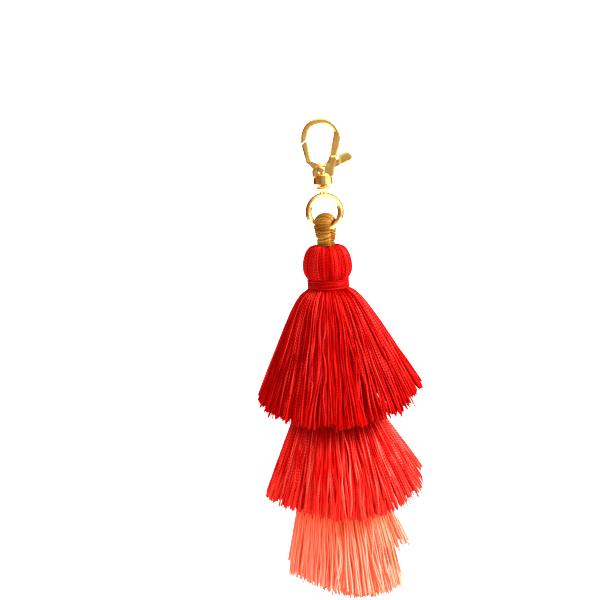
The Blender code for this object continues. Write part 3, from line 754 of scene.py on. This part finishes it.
def gold_material():
    """Pale gold plating: fine brushing, slight wear in its roughness, and a deeper tone in places."""
    made, tree, shader = new_material("gold_plating")
    place = node(tree, "ShaderNodeTexCoord")
    cloud = node(tree, "ShaderNodeTexNoise")
    cloud.inputs["Scale"].default_value = GOLD_CLOUD
    cloud.inputs["Detail"].default_value = 4.0
    tree.links.new(place.outputs["Object"], cloud.inputs["Vector"])
    colour = ramp(tree, ((0.3, GOLD_DARK), (0.7, GOLD_LIGHT)))
    tree.links.new(cloud.outputs["Fac"], colour.inputs["Fac"])
    tree.links.new(colour.outputs["Color"], shader.inputs["Base Color"])
    grain = node(tree, "ShaderNodeTexNoise")
    grain.inputs["Scale"].default_value = GOLD_GRAIN
    grain.inputs["Detail"].default_value = 3.0
    tree.links.new(place.outputs["Object"], grain.inputs["Vector"])
    rough = node(tree, "ShaderNodeMapRange")
    rough.inputs["To Min"].default_value = GOLD_SMOOTHEST
    rough.inputs["To Max"].default_value = GOLD_ROUGHEST
    tree.links.new(cloud.outputs["Fac"], rough.inputs["Value"])
    tree.links.new(rough.outputs["Result"], shader.inputs["Roughness"])
    raised = node(tree, "ShaderNodeBump")
    raised.inputs["Strength"].default_value = GOLD_BUMP
    raised.inputs["Distance"].default_value = GOLD_BUMP_DEPTH
    tree.links.new(grain.outputs["Fac"], raised.inputs["Height"])
    tree.links.new(raised.outputs["Normal"], shader.inputs["Normal"])
    shader.inputs["Metallic"].default_value = 1.0
    return made


def dress(piece, material, body):
    """Gives a piece its material and the slot that this stands for, and lets it ride on a body."""
    piece.data.materials.clear()
    piece.data.materials.append(material)
    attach(piece, body)
    return piece


# The stage

def plain_paint(name, low, high, roughness):
    """Matt paint whose tone drifts slowly between two colours."""
    made, tree, shader = new_material(name)
    speckle = node(tree, "ShaderNodeTexNoise")
    speckle.inputs["Scale"].default_value = 6.0
    tone = ramp(tree, ((0.3, low), (0.7, high)))
    tree.links.new(speckle.outputs["Fac"], tone.inputs["Fac"])
    tree.links.new(tone.outputs["Color"], shader.inputs["Base Color"])
    shader.inputs["Roughness"].default_value = roughness
    return made


def tent_paint():
    """A glow by place alone: olive in front, pale round that, and brown behind, low down and on the left."""
    made, tree, shader = new_material("tent")
    shader.inputs["Base Color"].default_value = (0.0, 0.0, 0.0, 1.0)
    shader.inputs["Specular IOR Level"].default_value = 0.0
    place = node(tree, "ShaderNodeTexCoord")
    split = node(tree, "ShaderNodeSeparateXYZ")
    tree.links.new(place.outputs["Generated"], split.inputs["Vector"])
    front = ramp(
        tree,
        (
            (0.04, (0.47, 0.45, 0.28)), (0.12, (1.35, 1.2, 1.0)), (0.55, (1.35, 1.2, 1.0)),
            (0.80, (0.22, 0.12, 0.05)),
        ),
    )
    tree.links.new(split.outputs["Y"], front.inputs["Fac"])
    low = ramp(tree, ((0.30, (0.22, 0.10, 0.05)), (0.50, (1.0, 1.0, 1.0))))
    tree.links.new(split.outputs["Z"], low.inputs["Fac"])
    left = ramp(tree, ((0.20, (0.30, 0.17, 0.08)), (0.42, (1.0, 1.0, 1.0))))
    tree.links.new(split.outputs["X"], left.inputs["Fac"])
    glow = front.outputs["Color"]
    for side in (low, left):
        both = node(tree, "ShaderNodeMix", data_type="RGBA", blend_type="MULTIPLY")
        both.inputs["Factor"].default_value = 1.0
        tree.links.new(glow, both.inputs["A"])
        tree.links.new(side.outputs["Color"], both.inputs["B"])
        glow = both.outputs["Result"]
    tree.links.new(glow, shader.inputs["Emission Color"])
    shader.inputs["Emission Strength"].default_value = 1.0
    return made


def ball(radius, steps, rows):
    """Points and faces of a ball round the origin."""
    bm = bmesh.new()
    bmesh.ops.create_uvsphere(bm, u_segments=steps, v_segments=rows, radius=radius)
    points = [tuple(vertex.co) for vertex in bm.verts]
    faces = [tuple(vertex.index for vertex in face.verts) for face in bm.faces]
    bm.free()
    return points, faces


def stage_sheet(name, points, faces, paint):
    """A sheet or ball that belongs to the stage and not to the part."""
    mesh = bpy.data.meshes.new(name)
    mesh.from_pydata(points, [], faces)
    mesh.materials.append(paint)
    made = bpy.data.objects.new(name, mesh)
    bpy.context.scene.collection.objects.link(made)
    return made


def make_stage():
    """A pale floor well below the tassel, a soft room, a sun from the upper right and a tent for gloss."""
    size = FLOOR_REACH
    low = CAD_BOX[0][2] - FLOOR_DROP
    corners = [(-size, -size, low), (size, -size, low), (size, size, low), (-size, size, low)]
    paint = plain_paint("pale_floor", FLOOR_DARK, FLOOR_LIGHT, 0.9)
    stage_sheet("floor", corners, [(0, 1, 2, 3)], paint)

    # What gloss mirrors: a tent that is olive in front, where the camera stands, pale on the sun's side and
    # brown elsewhere. It neither lights nor shades anything
    tent = stage_sheet("tent", *ball(TENT_RADIUS, 48, 24), tent_paint())
    tent.visible_camera = False
    tent.visible_diffuse = False
    tent.visible_shadow = False

    sun = bpy.data.lights.new("sun", "SUN")
    sun.energy = SUN_STRENGTH
    sun.angle = math.radians(SUN_SOFTNESS)
    lamp = bpy.data.objects.new("sun", sun)
    bpy.context.scene.collection.objects.link(lamp)
    lamp.rotation_euler = (-Vector(SUN_FROM)).to_track_quat("-Z", "Y").to_euler()

    world = bpy.data.worlds.new("soft_room")
    bpy.context.scene.world = world
    world.use_nodes = True
    tree = world.node_tree
    place = node(tree, "ShaderNodeTexCoord")
    split = node(tree, "ShaderNodeSeparateXYZ")
    tree.links.new(place.outputs["Generated"], split.inputs["Vector"])
    rise = ramp(tree, ((0.16, (ROOM_LOW,) * 3), (0.45, (ROOM_HIGH,) * 3)))
    tree.links.new(split.outputs["Z"], rise.inputs["Fac"])
    tree.links.new(rise.outputs["Color"], tree.nodes["Background"].inputs["Color"])

    camera = bpy.data.cameras.new("camera")
    camera.lens = VIEW_LENS
    camera.sensor_width = SENSOR
    camera.clip_start = 0.01
    eye = bpy.data.objects.new("camera", camera)
    bpy.context.scene.collection.objects.link(eye)
    level = Matrix.Rotation(math.radians(90 - VIEW_TILT), 4, "X")
    roll = Matrix.Rotation(math.radians(VIEW_ROLL), 4, "Z")
    eye.matrix_world = Matrix.Translation((VIEW_SIDE, -VIEW_DISTANCE, VIEW_HEIGHT)) @ level @ roll
    bpy.context.scene.camera = eye
    bpy.context.scene.view_settings.view_transform = "Standard"
    bpy.context.scene.view_settings.look = "High Contrast"


make_stage()
gold = gold_material()
red = yarn_material(
    "red_yarn", shade_and_glow=(0.13, 0.0002, 0.0002), dark=(0.19, 0.0003, 0.0003), middle=(0.27, 0.001, 0.001),
    light=(0.60, 0.055, 0.044), tip=(0.34, 0.0025, 0.002), tint=(1.0, 0.14, 0.11),
)
coral = yarn_material(
    "coral_yarn", shade_and_glow=(0.17, 0.0004, 0.0003), dark=(0.34, 0.0014, 0.001), middle=(0.49, 0.011, 0.008),
    light=(0.79, 0.18, 0.135), tip=(0.66, 0.050, 0.036), tint=(1.0, 0.25, 0.2),
)
peach = yarn_material(
    "peach_yarn", shade_and_glow=(0.44, 0.070, 0.024), dark=(0.55, 0.12, 0.065), middle=(0.64, 0.18, 0.125),
    light=(0.72, 0.25, 0.21), tip=(0.73, 0.235, 0.185), tint=(1.0, 0.5, 0.4), swing=0.36,
)

for name in ("clasp_hook", "clasp_gate", "gate_rivet", "swivel_ring"):
    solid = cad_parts[name]
    solid.data.materials.clear()
    solid.data.materials.append(gold)

ochre = yarn_material(
    "ochre_thread", shade_and_glow=(0.05, 0.014, 0.0012), dark=(0.11, 0.042, 0.005), middle=(0.175, 0.080, 0.014),
    light=(0.33, 0.19, 0.055), tip=(0.17, 0.072, 0.012), tint=(1.0, 0.75, 0.4), roughness=0.6, swing=0.12,
)
make_head(red)
make_binding(red)
make_loop(ochre)
for name, skirt, yarn, slot, stray in (
    ("tier_top", TOP, red, "red_yarn", None),
    ("tier_middle", MIDDLE, coral, "coral_yarn", None),
    ("tier_bottom", BOTTOM, peach, "peach_yarn", STRAY),
):
    coat, inside = make_skirt(name, skirt, stray)
    dress(coat, yarn, "tassel")
    dress(inside, yarn, "tassel")
    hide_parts(name)
